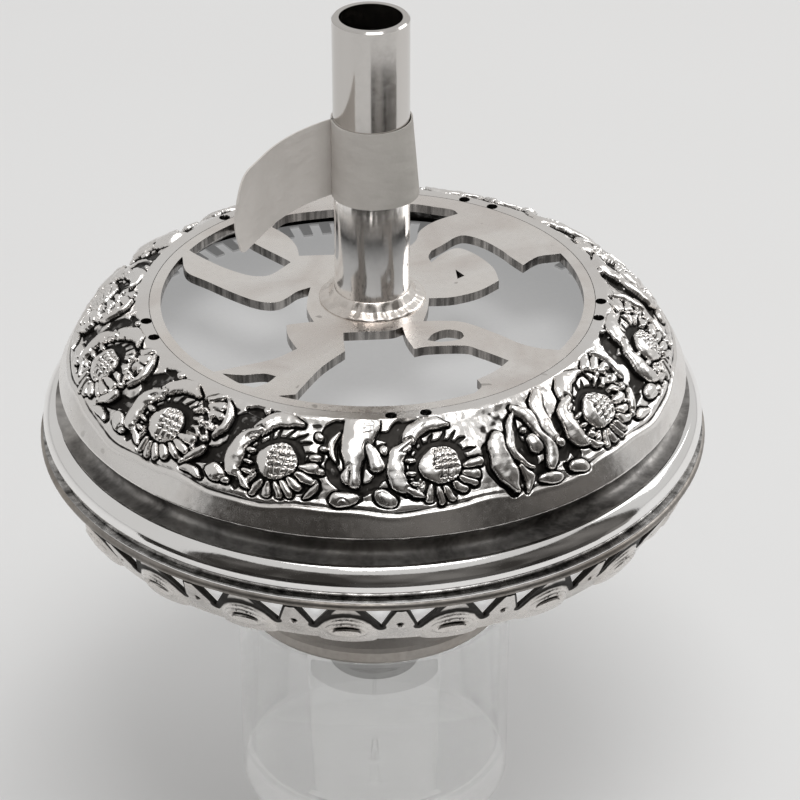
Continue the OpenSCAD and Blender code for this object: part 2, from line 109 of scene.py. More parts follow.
COVE_WALL = 1.2
COVE_SEAT = 0.6
LIP_Z = foot("shoulder_dome")
LIP_R = radius("shoulder_dome")
LIP_EDGE_H = 0.7
DOME_TOP_R = 42.1
DOME_SWELL = 2.0
DOME_T = 1.3
LIP_W = 2.2
LIP_T = 1.2
PLATE_TOP = top("openwork_plate")
PLATE_R = radius("openwork_plate")
PLATE_T = PLATE_TOP - foot("openwork_plate")
LEDGE_W = 1.4
LEDGE_T = 1.0
INNER_FROM = 0.085  # share of the slope where the dome's inner skin starts
INNER_TO = 0.8085  # and where it ends
PLATE_SLIP = 0.1
PLATE_BEVEL = 0.18
HOLE_CIRCLE_R = 41.0
HOLE_R = 0.9
HOLE_DEPTH = 2.2
HOLE_PAIRS = (-7, -81, -163, 129, 61)
HOLE_SIDE = 4.15  # from the middle of a pair to each of its holes
TUBE_R = 6.75
FOOT_R = radius("stem_collar")
FOOT_H = top("stem_collar") - PLATE_TOP
FOOT_SLIP = 0.02
TAG_Z = foot("paper_tag")
TAG_H = top("paper_tag") - TAG_Z
TAG_T = 0.3
TAG_SLIP = 0.05
TAIL_LEN = 28.5
TAIL_BEND = 18  # over this length the tail turns from the first heading to the second
TAIL_HEADINGS = (33, 65)
TAIL_UPPER_R = 4.6
TAIL_LOWER_R = 2.4
TAIL_CURL = 0.7
WRAP_LOOSE = 1.2


# ------------------------------------------------------------------ mesh helpers
def new_object(name, vertices, faces, material, smooth_angle):
    """A mesh object from points in millimetres, smooth but for edges sharper than smooth_angle."""
    mesh = bpy.data.meshes.new(name)
    vertices = np.asarray(vertices, float).reshape(-1, 3) * MM
    faces = np.asarray(faces, np.int32)
    mesh.vertices.add(len(vertices))
    mesh.vertices.foreach_set("co", vertices.ravel())
    corners = faces.shape[1]
    mesh.loops.add(faces.size)
    mesh.loops.foreach_set("vertex_index", faces.ravel())
    mesh.polygons.add(len(faces))
    mesh.polygons.foreach_set("loop_start", np.arange(len(faces), dtype=np.int32) * corners)
    mesh.update(calc_edges=True)
    mesh.validate()
    mesh.shade_smooth()
    mesh.set_sharp_from_angle(angle=math.radians(smooth_angle))
    mesh.materials.append(material)
    obj = bpy.data.objects.new(name, mesh)
    bpy.context.scene.collection.objects.link(obj)
    return obj


def set_values(obj, name, values):
    """A number for each point, for the materials to read."""
    layer = obj.data.attributes.new(name, "FLOAT", "POINT")
    layer.data.foreach_set("value", np.asarray(values, np.float32).ravel())


def unit(values):
    """The values, held between 0 and 1."""
    return np.clip(values, 0, 1)


def torus_faces(columns, rows):
    """Faces of a grid that closes on itself both ways; point (i, j) is number i * rows + j."""
    i, j = np.meshgrid(np.arange(columns), np.arange(rows), indexing="ij")
    nexti, nextj = (i + 1) % columns, (j + 1) % rows
    return np.stack([i * rows + j, nexti * rows + j, nexti * rows + nextj, i * rows + nextj],
                    -1).reshape(-1, 4)


def slab_faces(columns, rows, first=0):
    """Faces of two grids, front then back, and of walls round them; first is the first point's number."""
    index = np.arange(columns * rows).reshape(columns, rows) + first
    behind = columns * rows
    front = np.stack([index[:-1, :-1], index[1:, :-1], index[1:, 1:], index[:-1, 1:]], -1).reshape(-1, 4)
    back = front[:, [0, 3, 2, 1]] + behind
    rim = np.concatenate([index[:, 0], index[-1, 1:], index[-2::-1, -1], index[0, -2::-1]])
    walls = np.stack([rim[:-1], rim[:-1] + behind, rim[1:] + behind, rim[1:]], -1)
    return np.concatenate([front, back, walls])


def swell_arc(a, b, swell, count, start=0.0, end=1.0, sheet=0.0):
    """The arc of the CAD's sheet pieces: it swells to the right of the chord from a to b."""
    a, b = np.array(a, float), np.array(b, float)
    d = b - a
    side = np.array([d[1], -d[0]]) / np.hypot(*d)
    t = np.linspace(start, end, count)[:, None]
    return a + d * t + side * (4 * t * (1 - t) * swell - sheet)


def rounded(points, size, count=4):
    """A closed outline with every corner rounded off by up to size."""
    points = [np.array(p, float) for p in points]
    result = []
    for i, p in enumerate(points):
        before, after = points[i - 1] - p, points[(i + 1) % len(points)] - p
        reach = min(size, 0.45 * np.hypot(*before), 0.45 * np.hypot(*after))
        a = p + before / np.hypot(*before) * reach
        b = p + after / np.hypot(*after) * reach
        for k in range(count + 1):
            t = k / count
            result.append((1 - t) ** 2 * a + 2 * t * (1 - t) * p + t * t * b)
    return np.array(result)


def ripple(angle, height, size, seed):
    """Slow unevenness of hand work, periodic round the piece."""
    rng = np.random.default_rng(seed)
    total = 0
    for _ in range(7):
        waves = rng.integers(2, 26)
        tilt, phase = rng.uniform(-0.5, 0.5), rng.uniform(0, 2 * PI)
        total = total + np.sin(waves * angle + tilt * height + phase) / (1 + 0.12 * waves)
    return total * size / 4


def lathe(name, profile, material, segments, unevenness, seed, smooth_angle):
    """Turns a closed (radius, height) outline round the axis, with a little unevenness."""
    profile = np.asarray(profile, float)
    angle = np.arange(segments)[:, None] * 2 * PI / segments
    r, z = profile[None, :, 0], profile[None, :, 1]
    r = r + ripple(angle, z, unevenness, seed)
    z = z + ripple(angle, 0 * z, unevenness * 0.6, seed + 50)
    points = np.stack([r * np.cos(angle), r * np.sin(angle), z + 0 * angle], -1)
    faces = torus_faces(segments, len(profile))
    return new_object(name, points, faces, material, smooth_angle)


def get_points(obj):
    """The points of an object, in millimetres."""
    return np.array([v.co for v in obj.data.vertices]) / MM


def set_points(obj, points):
    obj.data.vertices.foreach_set("co", (points * MM).ravel())
    obj.data.update()


# ------------------------------------------------------------------ material helpers
def new_material(name):
    made = bpy.data.materials.new(name)
    made.use_nodes = True
    made.node_tree.nodes.clear()
    return made


def node(tree, kind, inputs, **settings):
    """A shader node; an input is another node's socket or a constant."""
    made = tree.nodes.new(kind)
    for key, value in settings.items():
        setattr(made, key, value)
    for key, value in inputs.items():
        if isinstance(value, bpy.types.NodeSocket):
            tree.links.new(value, made.inputs[key])
        else:
            made.inputs[key].default_value = value
    return made


def object_place(tree, scale=(1, 1, 1)):
    """The place on the piece, in metres, stretched by scale."""
    coordinates = node(tree, "ShaderNodeTexCoord", {}).outputs["Object"]
    return node(tree, "ShaderNodeMapping", {"Vector": coordinates, "Scale": scale}).outputs[0]


def noise(tree, scale, detail=3.0, rough=0.5, stretch=(1, 1, 1), distortion=0.0):
    return node(tree, "ShaderNodeTexNoise", {
        "Vector": object_place(tree, stretch), "Scale": scale, "Detail": detail, "Roughness": rough,
        "Distortion": distortion}).outputs["Fac"]


def ramp(tree, value, low, high, to_low=0.0, to_high=1.0):
    return node(tree, "ShaderNodeMapRange", {
        "Value": value, "From Min": low, "From Max": high, "To Min": to_low,
        "To Max": to_high}).outputs[0]


def math_node(tree, operation, a, b):
    return node(tree, "ShaderNodeMath", {0: a, 1: b}, operation=operation).outputs[0]


def mix_colour(tree, share, a, b):
    return node(tree, "ShaderNodeMix", {0: share, 6: a, 7: b}, data_type="RGBA").outputs[2]


def bump(tree, height, distance, strength=1.0, normal=None):
    inputs = {"Height": height, "Distance": distance, "Strength": strength}
    if normal is not None:
        inputs["Normal"] = normal
    return node(tree, "ShaderNodeBump", inputs).outputs[0]


def finish_material(made, shader):
    node(made.node_tree, "ShaderNodeOutputMaterial", {"Surface": shader})
    return made


def grey(value, warm=0.0):
    return (value * (1 + warm), value, value * (1 - warm), 1)


def silver(name, bright, rough, warm, wave, stain=0.0, oxide=0.0, oxide_from=0.35, use_oxide_and_shade=False,
           brushed=(1, 6, 1.5), metallic=1.0, painted_side_shade=0.0, glow=0.0, darker_above=None):
    """Polished to dull silver: fine scratches, slow waves in the sheet, stains and dark oxide; optionally
    painted shade, darkening above a height and a painted glow.
    """
    made = new_material(name)
    tree = made.node_tree
    clean = grey(bright, warm)
    dark = grey(0.03, 0.08)
    cloudy = noise(tree, 55, 4, 0.6)
    specks = noise(tree, 900, 3, 0.7)
    colour = mix_colour(tree, ramp(tree, cloudy, 0.3, 0.75), clean, grey(bright * 0.93, warm * 2))
    if stain:
        patches = ramp(tree, noise(tree, 48, 3, 0.55, distortion=0.8), 0.45, 0.7, 0, stain)
        colour = mix_colour(tree, patches, colour, (bright * 0.66, bright * 0.57, bright * 0.52, 1))
        dots = ramp(tree, noise(tree, 300, 1, 0.5), 0.76, 0.79, 0, stain)
        colour = mix_colour(tree, dots, colour, grey(0.2, 0.1))
    rough_value = ramp(tree, specks, 0.3, 0.7, rough * 0.8, rough * 1.3)
    # a point attribute darkens the colour: oxide in the chased hollows, painted shade in holes, cut
    # edges, grooves and inside the dome
    if use_oxide_and_shade:
        depth = node(tree, "ShaderNodeAttribute", {}, attribute_name="oxide_and_shade").outputs["Fac"]
        ragged = ramp(tree, noise(tree, 500, 3, 0.6), 0.2, 0.8, -0.14, 0.14)
        oxide_and_shade_share = math_node(tree, "ADD", depth, ragged)
        oxide_and_shade_share = ramp(tree, oxide_and_shade_share, 0.3, 0.62)
        colour = mix_colour(tree, oxide_and_shade_share, colour, dark)
        rough_value = math_node(tree, "ADD", rough_value, ramp(tree, oxide_and_shade_share, 0, 1, 0, 0.3))
    if oxide:
        cloud = noise(tree, 60, 5, 0.7, distortion=0.4)
        film = ramp(tree, cloud, oxide_from, oxide_from + 0.3, 0, oxide)
        colour = mix_colour(tree, film, colour, dark)
        rough_value = math_node(tree, "ADD", rough_value, ramp(tree, film, 0, 1, 0, 0.2))
    # painted shade: upright faces, such as the plate's cut sides, are darkened by their slope, streaked
    # like file marks
    if painted_side_shade:
        upright = node(tree, "ShaderNodeSeparateXYZ", {
            0: node(tree, "ShaderNodeTexCoord", {}).outputs["Normal"]}).outputs["Z"]
        shaded_sides = ramp(tree, math_node(tree, "ABSOLUTE", upright, 0.0), 0.35, 0.85, painted_side_shade, 0)
        filed = ramp(tree, noise(tree, 700, 3, 0.7, stretch=(1, 1, 0.06)), 0.35, 0.6, 0.45, 1)
        colour = mix_colour(tree, math_node(tree, "MULTIPLY", shaded_sides, filed), colour, dark)
    # the colour darkens above the given height
    if darker_above is not None:
        height = node(tree, "ShaderNodeSeparateXYZ", {0: object_place(tree)}).outputs["Z"]
        darkening = ramp(tree, height, darker_above * MM, (darker_above + 8) * MM, 0, 0.85)
        colour = mix_colour(tree, darkening, colour, grey(bright * 0.6, warm + 0.03))
    scratches = noise(tree, 260, 4, 0.7, stretch=brushed)
    normal = bump(tree, noise(tree, 38, 1.5, 0.4), wave)
    normal = bump(tree, scratches, 0.000012, 0.6, normal)
    # glow is painted light: an emission that stands in for light bounced about inside the head
    shader = node(tree, "ShaderNodeBsdfPrincipled", {
        "Base Color": colour, "Metallic": metallic, "Roughness": rough_value, "Normal": normal,
        "Emission Color": clean, "Emission Strength": glow})
    return finish_material(made, shader.outputs[0])


def clear_glass(name):
    """Thin clear glass; a low alpha keeps it pale."""
    made = new_material(name)
    tree = made.node_tree
    normal = bump(tree, noise(tree, 22, 1, 0.4), 0.0002)
    shader = node(tree, "ShaderNodeBsdfPrincipled", {
        "Base Color": (0.96, 0.97, 0.965, 1), "Roughness": 0.0, "IOR": 1.3,
        "Transmission Weight": 1.0, "Alpha": 0.32, "Normal": normal})
    return finish_material(made, shader.outputs[0])


def paper(name):
    """Handled paper: mottled, creased, and darker towards the right."""
    made = new_material(name)
    tree = made.node_tree
    mottle = ramp(tree, noise(tree, 160, 5, 0.6), 0.3, 0.7)
    across = node(tree, "ShaderNodeSeparateXYZ", {0: object_place(tree)}).outputs["X"]
    towards_right = ramp(tree, across, -10 * MM, 5 * MM)
    clean = mix_colour(tree, towards_right, (0.63, 0.60, 0.57, 1), (0.45, 0.43, 0.40, 1))
    grubby = mix_colour(tree, towards_right, (0.57, 0.54, 0.51, 1), (0.38, 0.36, 0.335, 1))
    colour = mix_colour(tree, mottle, clean, grubby)
    creases = ramp(tree, noise(tree, 45, 4, 0.6, stretch=(1, 1, 2)), 0.35, 0.65)
    normal = bump(tree, creases, 0.0004, 0.7)
    normal = bump(tree, noise(tree, 2500, 2, 0.6), 0.00004, 0.6, normal)
    shader = node(tree, "ShaderNodeBsdfPrincipled", {
        "Base Color": colour, "Roughness": 0.82, "Specular IOR Level": 0.25, "Normal": normal})
    return finish_material(made, shader.outputs[0])


def pale_floor(name):
    """Pale grey card, a little cloudy."""
    made = new_material(name)
    tree = made.node_tree
    cloudy = ramp(tree, noise(tree, 3, 3, 0.5), 0.3, 0.7)
    colour = mix_colour(tree, cloudy, grey(0.73, 0.0), grey(0.70, 0.004))
    shader = node(tree, "ShaderNodeBsdfPrincipled", {"Base Color": colour, "Roughness": 0.9})
    return finish_material(made, shader.outputs[0])


def flag_cloth(name, value, distance):
    """Dark cloth with slow folds, whose width follows the flag's distance."""
    made = new_material(name)
    tree = made.node_tree
    folds = ramp(tree, noise(tree, 2.6 / distance, 2, 0.5, stretch=(1, 1, 0.25)), 0.42, 0.66)
    colour = mix_colour(tree, folds, grey(value, 0.08), grey(value * 4.5, 0.05))
    shader = node(tree, "ShaderNodeEmission", {"Color": colour, "Strength": 1.0})
    return finish_material(made, shader.outputs[0])


# ------------------------------------------------------------------ chasing on the dome
DOME_COLUMNS = 2160
DOME_ROWS = 150
DOME_FOOT = (LIP_R, LIP_EDGE_H)
DOME_HEAD = (DOME_TOP_R, PLATE_TOP - LIP_Z)
SLOPE = math.dist(DOME_FOOT, DOME_HEAD)
CHASED_R = 50  # mean radius of the chased slope
MM_PER_DEGREE = math.radians(1) * CHASED_R


def near(x, y, line):
    """Distance to a line of points, and how far along it the nearest place lies, 0 to 1."""
    best = np.full(np.broadcast(x, y).shape, 1e9)
    along = np.zeros_like(best)
    for i in range(len(line) - 1):
        (ax, ay), (bx, by) = line[i], line[i + 1]
        dx, dy = bx - ax, by - ay
        s = unit(((x - ax) * dx + (y - ay) * dy) / (dx * dx + dy * dy))
        d = np.hypot(x - ax - s * dx, y - ay - s * dy)
        closer = d < best
        best = np.where(closer, d, best)
        along = np.where(closer, (i + s) / (len(line) - 1), along)
    return best, along


def smooth_line(points, steps=5):
    """Catmull-Rom curve through the points."""
    points = [np.array(p, float) for p in points]
    last = len(points) - 1
    line = []
    for i in range(last):
        p0, p1, p2, p3 = points[max(i - 1, 0)], points[i], points[i + 1], points[min(i + 2, last)]
        for k in range(steps):
            t = k / steps
            line.append((2 * p1 + (p2 - p0) * t + (2 * p0 - 5 * p1 + 4 * p2 - p3) * t * t
                         + (3 * p1 - p0 - 3 * p2 + p3) * t ** 3) / 2)
    return line + [points[-1]]


class Chasing:
    """Height of the repousse work over the unrolled dome, drawn stroke by stroke, in millimetres.

    A place is given as (degrees round, share of the slope from lip to top).
    """

    def __init__(self, columns, rows):
        self.columns = columns
        self.share = np.linspace(0, 1, rows)
        self.height = np.zeros((columns, rows))
        self.centre = 0.0
        a, y = np.arange(columns)[:, None] * 2 * PI / columns, self.share[None, :] * SLOPE
        self.waver_x = 0.16 * np.sin(37 * a + 0.9 * y) + 0.07 * np.sin(83 * a - 1.7 * y + 1)
        self.waver_y = 0.15 * np.sin(43 * a - 0.8 * y + 2) + 0.06 * np.sin(97 * a + 1.6 * y)

    def at(self, points):
        """Places in degrees and share of the slope, turned into millimetres."""
        return [(p[0] * MM_PER_DEGREE, p[1] * SLOPE) for p in points]

    def patch(self, reach=20):
        """The columns near the motif's centre, and places from it that waver as hand work does."""
        span = int(reach / 360 * self.columns)
        middle = int(round(self.centre / 360 * self.columns))
        columns = np.arange(middle - span, middle + span + 1)
        x = (columns * 360 / self.columns - self.centre) * MM_PER_DEGREE
        columns = columns % self.columns
        y = self.share[None, :] * SLOPE
        return columns, x[:, None] + self.waver_x[columns], y + self.waver_y[columns]

    def pit(self, points, half_width, depth=0.85, soft=0.35, ends=0.35):
        """Sunk ground along a stroke."""
        columns, x, y = self.patch()
        d, along = near(x, y, smooth_line(self.at(points)))
        width = half_width * (ends + (1 - ends) * np.sin(PI * np.clip(along, 0.06, 0.94)))
        inside = unit((width - d) / soft + 0.5)
        old = self.height[columns]
        self.height[columns] = old + inside * (np.minimum(old, -depth) - old)

    def leaf(self, points, half_width, crown=0.55, level=-0.1, widths=(0.3, 0.8, 1, 0.8, 0.3),
             groove=0.42):
        """A raised stroke with a sunk outline; widths are shares of half_width from end to end."""
        columns, x, y = self.patch()
        d, along = near(x, y, smooth_line(self.at(points)))
        width = half_width * np.interp(along, np.linspace(0, 1, len(widths)), widths)
        self.raise_form(columns, d / width, d - width, crown, level, groove)

    def boss(self, place, rx, ry, crown=0.5, level=-0.1, groove=0.42, turn=0.0):
        """A raised oval."""
        columns, x, y = self.patch()
        px, py = self.at([place])[0]
        c, s = math.cos(turn), math.sin(turn)
        u, v = (x - px) * c + (y - py) * s, -(x - px) * s + (y - py) * c
        q = np.hypot(u / rx, v / ry)
        self.raise_form(columns, q, (q - 1) * (rx + ry) / 2, crown, level, groove)
        return columns, u, v, q

    def raise_form(self, columns, q, beyond, crown, level, groove):
        old = self.height[columns]
        outline = groove * np.exp(-((beyond - 0.12) / 0.24) ** 2)
        old = np.where(beyond > 0, np.maximum(old - outline, -0.95), old)
        form = level + crown * np.sqrt(unit(1 - q * q))
        self.height[columns] = np.where(q < 1, form, old)

    def cut(self, points, width=0.15, depth=0.24):
        """An engraved line."""
        columns, x, y = self.patch()
        d, along = near(x, y, smooth_line(self.at(points)))
        depth = depth * np.clip(np.minimum(along, 1 - along) * 6, 0.2, 1)
        self.height[columns] -= depth * np.exp(-(d / width) ** 2)


DISC_MIDDLE = 0.56
DISC_RX, DISC_RY = 3.6, 3.2
BORDER_AT = 0.215
GROUND_DEPTH = 0.34


def polar(angle, reach):
    """A place round the flower's disc, reach times its radius away from its middle."""
    a = math.radians(angle)
    return (reach * DISC_RX * math.cos(a) / MM_PER_DEGREE,
            DISC_MIDDLE + reach * DISC_RY * math.sin(a + 0.12) / SLOPE)


def sunflower(work, centre, rng):
    """A hatched disc in a dark jagged ring, two smooth petals on its left, short petals below."""
    work.centre = centre + rng.uniform(-0.3, 0.3)
    shift = rng.uniform(-0.25, 0.25)
    work.leaf([(-6.4, 0.70), (-5.2, 0.82), (-2.6, 0.91), (0.6 + shift, 0.93), (3.6, 0.9)],
              1.55, 0.6, -0.02, (0.45, 1, 1, 0.7, 0.15))
    work.cut([(-5.4, 0.77), (-3.4, 0.87), (-0.4, 0.92)], 0.13, 0.1)
    work.pit([polar(a, 1.2) for a in range(-10, 231, 20)], 0.85, 0.85, 0.3, 0.7)
    work.pit([polar(a, 1.08) for a in range(200, 381, 20)], 0.45, 0.7, 0.3, 1.0)
    for angle in (158, 138, 120, 101, 82, 62, 44, 24, 5):
        a = angle + rng.uniform(-4, 4)
        work.pit([polar(a, 1.3), polar(a - 4, 1.55), polar(a - 9, 1.85 + rng.uniform(-0.1, 0.2))],
                 0.36, 0.8, 0.25, 0.2)
    for k, angle in enumerate(np.linspace(210, 342, 9)):
        a = angle + rng.uniform(-3, 3)
        work.leaf([polar(a, 1.2), polar(a + 2, 1.55), polar(a + 4, 1.88 + rng.uniform(-0.08, 0.1))],
                  0.6 + 0.03 * k, 0.46, -0.1, (0.5, 1, 0.95))
    work.leaf([(-5.4, 0.78), (-7.7, 0.69), (-8.7, 0.565), (-8.1, 0.43), (-6.2 + shift, 0.37)],
              1.6, 0.7, 0.0, (0.35, 0.9, 1, 0.85, 0.3))
    scales = (((-6.1, 0.71), 0.5), ((-5.55, 0.61), 0.1), ((-5.7, 0.51), -0.1), ((-5.3, 0.42), -0.35))
    for place, turn in scales:
        work.boss(place, 0.95, 0.42, 0.4, 0.0, 0.35, turn)
    work.leaf([(-6.6, 0.385), (-5.2, 0.33), (-4.0, 0.30)], 0.62, 0.4, -0.05)
    columns, u, v, q = work.boss((0, DISC_MIDDLE), DISC_RX, DISC_RY, 0.85, -0.1, 0.6, 0.18)
    hatch = np.zeros_like(q)
    for k in range(-3, 5):
        wobble = 0.14 * np.sin(1.1 * v + k) + rng.uniform(-0.08, 0.08)
        hatch = np.maximum(hatch, np.exp(-((u - k * 1.12 - 0.22 * v - wobble) / 0.19) ** 2))
        hatch = np.maximum(hatch, np.exp(-((v - k * 1.05 + 0.1 * u + wobble) / 0.19) ** 2))
    hatched = unit((u + 1.5 - 0.1 * v * v) / 0.3) * unit((0.97 - q) / 0.08)
    work.height[columns] -= 0.46 * hatch * hatched


def fan_leaf(work, centre, rng):
    """Ragged leaf to the right of a flower, curled at its edge, with strokes and a stalk below."""
    work.centre = centre
    work.pit([(5.0, 0.53), (7.4, 0.53), (9.8, 0.52), (12.4, 0.48)], 0.75, ends=0.7)
    work.pit([(8.6, 0.38), (10.6, 0.42), (13.0, 0.42)], 0.9)
    ends = ((8.6, 0.97), (11.0, 0.92), (11.7, 0.81), (11.2, 0.69), (10.4, 0.59))
    for k, end in enumerate(ends):
        begin = (4.4 + 0.2 * k, 0.74 - 0.04 * k)
        lift = 0.03 + rng.uniform(-0.012, 0.012)
        bend = ((begin[0] + end[0]) / 2, (begin[1] + end[1]) / 2 + lift)
        work.leaf([begin, bend, end], 1.15, 0.5, -0.08, (0.5, 1, 1, 0.8, 0.5), 0.35)
    for x, y, size in ((5.9, 0.84, 0.75), (7.9, 0.75, 0.6), (8.7, 0.62, 0.65), (10.4, 0.74, 0.6)):
        work.pit([(x - 0.5, y + 0.03), (x + 0.6, y - 0.01)], size * 0.75, 0.6, 0.25, 0.8)
        work.boss((x + 1.1, y - 0.045), size, size * 0.8, 0.45, 0.0)
    work.leaf([(10.9, 0.95), (12.6, 0.86), (12.9, 0.74), (12.0, 0.63)], 0.95, 0.65, 0.0)
    work.leaf([(4.6, 0.5), (6.0, 0.485), (7.4, 0.43)], 0.5, 0.45, 0.0, (0.5, 1, 1, 0.6))
    work.leaf([(7.0, 0.51), (8.2, 0.485), (8.9, 0.44)], 0.45, 0.45, 0.0, (0.5, 1, 0.6))
    work.leaf([(10.6, 0.505), (9.6, 0.44), (8.0, 0.365)], 0.85, 0.6, 0.0, (0.8, 1, 0.9, 0.7))
    work.boss((7.2, 0.345), 0.62, 0.55, 0.45, 0.0)
    work.boss((5.7, 0.36), 0.6, 0.5, 0.4, 0.0)
    work.leaf([(7.8, 0.29), (10.0, 0.3), (12.4, 0.27)], 0.85, 0.5, 0.0)


def comma_gap(work, centre, rng):
    """The dark gap to the left of a flower: a comma with a tail, a curl above it and a bud below."""
    work.centre = centre
    work.pit([(-4.4, 0.975), (-6.2, 0.955), (-8.2, 0.955), (-10.4, 0.94)], 0.8)
    work.pit([(-6.4, 0.84), (-8.4, 0.86), (-10.8, 0.82), (-12.0, 0.74)], 1.5, ends=0.5)
    work.pit([(-11.0, 0.76), (-9.9, 0.62), (-11.2, 0.52), (-14.2, 0.49)], 1.7, ends=0.6)
    work.pit([(-10.2, 0.52), (-9.4, 0.43), (-7.6, 0.33), (-6.6, 0.28)], 0.95)
    work.boss((-5.6, 0.975), 0.75, 0.55, 0.45, 0.0)
    bud = (-11.3 + rng.uniform(-0.3, 0.3), 0.35)
    columns, u, _, q = work.boss(bud, 2.1, 1.35, 0.65, -0.05, turn=-0.18)
    work.height[columns] -= np.exp(-((q - 0.62) / 0.12) ** 2) * 0.14 * (u > -0.5)
    work.boss((-8.9, 0.31), 0.85, 0.6, 0.45, 0.0, turn=0.6)


def front_drop(work, centre):
    """The broad drop with a lobe that hangs from the top edge, between two dark gaps."""
    work.centre = centre
    work.pit([(-4.2, 0.965), (-6.4, 0.9), (-6.2, 0.76), (-5.0, 0.62)], 1.5)
    work.pit([(-6.0, 0.6), (-4.0, 0.46), (0.0, 0.38), (3.4, 0.44)], 1.2, ends=0.6)
    work.pit([(3.6, 0.86), (6.4, 0.84), (8.8, 0.93), (11.6, 0.985)], 1.25, ends=0.5)
    work.pit([(7.4, 0.86), (5.6, 0.68), (4.6, 0.52), (3.2, 0.46)], 1.15, ends=0.7)
    work.leaf([(-4.6, 0.86), (-6.0, 0.72), (-4.9, 0.62)], 0.7, 0.45, 0.0)
    for x, y, size in ((-8.7, 0.82, 0.9), (-7.5, 0.71, 0.75), (-8.8, 0.62, 0.95), (-7.4, 0.52, 0.8),
                       (-8.5, 0.43, 0.75)):
        work.boss((x, y), size, size * 0.8, 0.5, -0.1)
    work.leaf([(-9.6, 0.29), (-8.6, 0.35), (-7.6, 0.42)], 0.75, 0.5, 0.0)
    work.leaf([(0.2, 1.02), (-0.4, 0.86), (-1.2, 0.66), (-1.1, 0.44)], 3.4, 1.1, -0.1,
              (1, 1, 0.86, 0.46, 0.3))
    work.leaf([(1.6, 0.74), (2.6, 0.66), (3.4, 0.58)], 1.25, 0.75, 0.0, (0.6, 1, 0.9))
    work.leaf([(-2.2, 0.56), (-2.9, 0.48), (-2.4, 0.42)], 0.7, 0.5, 0.0)
    work.boss((4.9, 0.72), 0.95, 0.8, 0.4, -0.3)
    work.boss((-2.6, 0.3), 2.5, 1.3, 0.7, -0.05, turn=0.1)
    work.cut([(-4.4, 0.26), (-2.8, 0.31), (-1.2, 0.26)], 0.13, 0.16)
    columns, u, _, q = work.boss((4.7, 0.31), 2.05, 1.35, 0.7, -0.05, turn=-0.4)
    work.height[columns] -= np.exp(-((q - 0.6) / 0.12) ** 2) * 0.16 * (u < 0.6)
    for k in range(3):
        work.cut([(0.6, 0.93 - 0.035 * k), (2.6, 0.935 - 0.03 * k)], 0.12, 0.14)


def s_leaves(work, centre):
    """A smooth convex leaf, then upright S-shaped leaves and a round boss over a dark ground."""
    work.centre = centre
    work.pit([(-9.6, 0.62), (-9.2, 0.44), (-6.8, 0.22)], 1.1, ends=0.7)
    work.pit([(-1.6, 0.8), (-2.9, 0.62), (-1.4, 0.46), (-0.6, 0.33), (3.6, 0.36)], 1.25, ends=0.6)
    work.pit([(6.9, 0.58), (8.4, 0.66), (10.6, 0.62)], 1.2, ends=0.7)
    work.pit([(5.4, 0.38), (8.0, 0.48), (8.6, 0.34)], 1.3, ends=0.8)
    work.leaf([(-6.6, 0.68), (-7.4, 0.48), (-6.0, 0.24)], 2.0, 0.9, 0.0, (0.6, 1, 1, 0.8, 0.3))
    work.leaf([(0.0, 0.88), (-3.0, 0.76), (-4.5, 0.58), (-3.3, 0.44), (-1.7, 0.37)], 0.75, 0.6, 0.0,
              (0.3, 0.8, 1, 1, 0.8, 0.5))
    work.boss((0.8, 0.555), 1.6, 1.75, 0.8, -0.15)
    work.boss((-0.4, 0.68), 0.75, 0.65, 0.6, 0.0)
    work.leaf([(-0.4, 0.9), (2.4, 0.76), (3.6, 0.56), (3.1, 0.42), (2.1, 0.32)], 1.3, 0.75, 0.0,
              (0.5, 1, 1, 0.8, 0.5))
    work.leaf([(7.6, 0.95), (5.2, 0.8), (4.9, 0.62), (5.9, 0.49)], 1.3, 0.6, 0.0, (0.6, 1, 1, 0.8, 0.6))
    work.cut([(7.0, 0.9), (5.6, 0.78), (5.3, 0.62)], 0.13, 0.16)
    work.cut([(6.4, 0.9), (4.8, 0.78), (4.6, 0.64)], 0.13, 0.16)
    work.boss((6.2, 0.475), 0.9, 0.75, 0.5, 0.0)
    work.leaf([(-4.2, 0.4), (-3.2, 0.3), (-4.0, 0.19)], 0.95, 0.6, 0.0, (0.4, 1, 0.3))
    work.boss((1.2, 0.235), 2.4, 1.0, 0.6, 0.0, turn=-0.1)
    work.pit([(5.0, 0.3), (5.6, 0.24), (6.6, 0.2)], 0.7)
    work.boss((7.6, 0.235), 1.9, 1.1, 0.6, 0.0, turn=-0.45)


def lower_border(work):
    """The relief's lower edge: a soft step above the plain lip, which bulges under each motif."""
    angle = np.arange(work.columns) * 2 * PI / work.columns
    sunk = unit((work.share - 0.25) / 0.04) * unit((0.97 - work.share) / 0.05)
    work.height -= GROUND_DEPTH * sunk[None, :]
    line = BORDER_AT - 0.022 * np.cos(12 * (angle + math.radians(84))) + 0.006 * np.sin(31 * angle + 1)
    y = (work.share[None, :] - line[:, None]) * SLOPE
    work.height -= 0.3 * np.exp(-(y / 0.32) ** 2)
    work.height += 0.12 * np.exp(-((y + 0.8) / 0.42) ** 2)


def blur(values, reach):
    """Running average both ways, wrapping round the piece."""
    result = values
    for axis in (0, 1):
        total = np.zeros_like(result)
        for k in range(-reach, reach + 1):
            shifted = np.roll(result, k, axis)
            if axis == 1 and k > 0:
                shifted[:, :k] = result[:, :1]
            if axis == 1 and k < 0:
                shifted[:, k:] = result[:, -1:]
            total += shifted
        result = total / (2 * reach + 1)
    return result


# middles of the motifs, in degrees round the dome
FLOWERS = (-161.5, -134.5, -108.3, -76.2, -38.6, -10.8, 18.5, 45.5, 73.5, 100.5, 127.5, 171.0)
S_LEAVES = (-57.0, 59.0)
FRONT_DROPS = (-92.0, 149.0)


